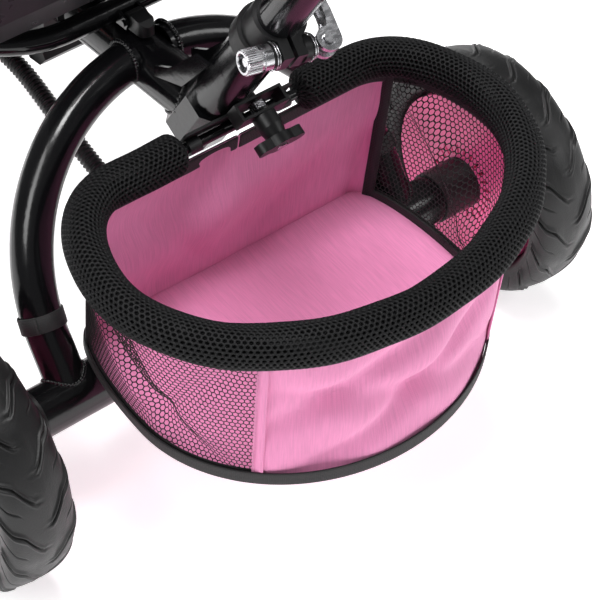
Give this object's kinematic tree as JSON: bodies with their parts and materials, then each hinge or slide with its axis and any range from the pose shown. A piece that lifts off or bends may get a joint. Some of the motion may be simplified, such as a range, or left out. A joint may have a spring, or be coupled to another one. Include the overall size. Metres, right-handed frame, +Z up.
{
  "type": "push tricycle stroller",
  "caption": "Child's push-along tricycle stroller with swivel seat, folding canopy, telescoping push handle, front pedals and a rear mesh-sided fabric basket.",
  "frame": {"origin": "on the floor, at the middle of the whole stroller's box", "axes": "+Z up, +Y towards the push handle and basket (rear), +X to the left of a seated rider"},
  "size_m": [0.542, 1.1464, 0.9968],
  "materials": {
    "frame_black": "gloss black paint over welded steel tube",
    "bright_steel": "bright zinc and nickel plated steel",
    "black_plastic": "fine matt moulded plastic",
    "pink_plastic": "satin moulded plastic",
    "tyre": "moulded foam tyre with a leaf tread",
    "red_plastic": "gloss moulded plastic",
    "grey_plastic": "fine matt moulded plastic",
    "hoop_wire": "black coated wire",
    "pad_mesh": "three-dimensional air mesh sleeve",
    "pink_fabric": "plain woven polyester",
    "black_webbing": "woven webbing",
    "foam_rubber": "closed cell foam",
    "canopy_wire": "black coated wire"
  },
  "bodies": {
    "frame": {"main_tube": "frame_black", "head_tube": "frame_black", "headset_bushes": "black_plastic", "rear_arch": "frame_black", "axle_tube": "frame_black", "axle_bushes": "black_plastic", "rear_axle": "bright_steel", "handle_socket": "frame_black", "frame_gussets": "frame_black", "seat_mount": "black_plastic", "clamp_collar": "black_plastic", "qr_skewer": "bright_steel", "qr_barrel_nut": "bright_steel", "qr_cups": "black_plastic", "basket_bracket": "black_plastic", "basket_hoop": "hoop_wire", "basket_rim_pad": "pad_mesh", "basket_body": "pink_fabric", "basket_straps": "black_webbing", "brake_hose": "black_plastic", "hose_fittings": "black_plastic", "lower_handle_tube": "frame_black", "handle_collar": "black_plastic"},
    "rear_wheel_left": {"rear_tyre_left": "tyre", "rear_rim_left": "pink_plastic", "rear_hub_left": "black_plastic"},
    "rear_wheel_right": {"rear_tyre_right": "tyre", "rear_rim_right": "pink_plastic", "rear_hub_right": "black_plastic"},
    "steering": {"fork": "frame_black", "stem": "frame_black", "handlebar": "frame_black", "handlebar_grips": "foam_rubber", "mudguard": "black_plastic"},
    "front_wheel": {"front_tyre": "tyre", "front_rim": "pink_plastic", "front_crank": "bright_steel"},
    "pedal_left": {"pedal_left": "black_plastic"},
    "pedal_right": {"pedal_right": "black_plastic"},
    "seat": {"seat_base_ring": "frame_black", "seat_shell": "grey_plastic", "seat_pad": "pink_fabric", "harness": "black_webbing", "seat_fittings": "black_plastic", "canopy_bow_rear": "canopy_wire", "canopy_fabric": "pink_fabric"},
    "seat_release": {"seat_release_lever": "red_plastic"},
    "safety_arm_left": {"safety_arm_left": "foam_rubber"},
    "safety_arm_right": {"safety_arm_right": "foam_rubber"},
    "canopy_middle": {"canopy_bow_middle": "canopy_wire"},
    "canopy_front": {"canopy_bow_front": "canopy_wire"},
    "seat_lock": {"seat_lock_lever": "black_plastic"},
    "footrest": {"footrest": "frame_black"},
    "push_handle": {"upper_handle_tube": "frame_black", "handle_hub": "black_plastic", "handle_loop": "frame_black", "handle_foam": "foam_rubber"},
    "height_button": {"height_button": "red_plastic"},
    "cam_lever": {"qr_lever": "bright_steel"},
    "basket_knob": {"basket_knob": "black_plastic"}
  },
  "joints": [
    {"name": "rear_wheel_left_spin", "type": "hinge", "parent": "frame", "child": "rear_wheel_left", "pos_m": [0.2425, 0.12, 0.1], "axis": [1, 0, 0], "continuous": true},
    {"name": "rear_wheel_right_spin", "type": "hinge", "parent": "frame", "child": "rear_wheel_right", "pos_m": [-0.2425, 0.12, 0.1], "axis": [1, 0, 0], "continuous": true},
    {"name": "steering", "type": "hinge", "parent": "frame", "child": "steering", "pos_m": [0, -0.43816, 0.12], "axis": [0, 0.1392, 0.9903], "range_deg": [-25, 25]},
    {"name": "front_wheel_spin", "type": "hinge", "parent": "steering", "child": "front_wheel", "pos_m": [0, -0.45316, 0.12], "axis": [1, 0, 0], "continuous": true},
    {"name": "pedal_left_spin", "type": "hinge", "parent": "front_wheel", "child": "pedal_left", "pos_m": [0.099, -0.52316, 0.12], "axis": [1, 0, 0], "continuous": true},
    {"name": "pedal_right_spin", "type": "hinge", "parent": "front_wheel", "child": "pedal_right", "pos_m": [-0.099, -0.38316, 0.12], "axis": [1, 0, 0], "continuous": true},
    {"name": "seat_swivel", "type": "hinge", "parent": "frame", "child": "seat", "pos_m": [0, -0.13, 0.29], "axis": [0, 0, 1], "range_deg": [0, 180]},
    {"name": "seat_release_turn", "type": "hinge", "parent": "seat", "child": "seat_release", "pos_m": [0.055, -0.09, 0.3095], "axis": [0, 0, -1], "range_deg": [0, 20], "stiffness_Nm_per_rad": 0.2},
    {"name": "safety_arm_left_swing", "type": "hinge", "parent": "seat", "child": "safety_arm_left", "pos_m": [0.143, -0.11, 0.471], "axis": [0, 0, 1], "range_deg": [0, 80]},
    {"name": "safety_arm_right_swing", "type": "hinge", "parent": "seat", "child": "safety_arm_right", "pos_m": [-0.143, -0.11, 0.471], "axis": [0, 0, -1], "range_deg": [0, 80]},
    {"name": "canopy_front_fold", "type": "hinge", "parent": "seat", "child": "canopy_front", "pos_m": [0, 0.02, 0.64], "axis": [-1, 0, 0], "range_deg": [0, 70], "deforming": ["canopy_fabric"]},
    {"name": "canopy_middle_fold", "type": "hinge", "parent": "seat", "child": "canopy_middle", "pos_m": [0, 0.02, 0.64], "axis": [-1, 0, 0], "range_deg": [0, 35]},
    {"name": "seat_lock_turn", "type": "hinge", "parent": "seat", "child": "seat_lock", "pos_m": [0, 0.0015, 0.2905], "axis": [1, 0, 0], "range_deg": [0, 25], "stiffness_Nm_per_rad": 0.2},
    {"name": "footrest_fold", "type": "hinge", "parent": "frame", "child": "footrest", "pos_m": [0, -0.196, 0.226], "axis": [1, 0, 0], "range_deg": [0, 70]},
    {"name": "push_handle_height", "type": "slide", "parent": "frame", "child": "push_handle", "axis": [0, 0.549, 0.8358], "range_m": [-0.12, 0]},
    {"name": "height_button_press", "type": "slide", "parent": "frame", "child": "height_button", "axis": [0, -0.8358, 0.549], "range_m": [0, 0.003], "stiffness_N_per_m": 400},
    {"name": "cam_lever_open", "type": "hinge", "parent": "frame", "child": "cam_lever", "pos_m": [-0.02427, 0.18499, 0.36428], "axis": [0, -0.549, -0.8358], "range_deg": [0, 110]},
    {"name": "basket_knob_turn", "type": "hinge", "parent": "frame", "child": "basket_knob", "pos_m": [-0.01, 0.15085, 0.27065], "axis": [0, 0.8358, -0.549], "continuous": true}
  ],
  "couplings": [
    {"joint": "canopy_middle_fold", "follows": "canopy_front_fold", "ratio": 0.5}
  ]
}
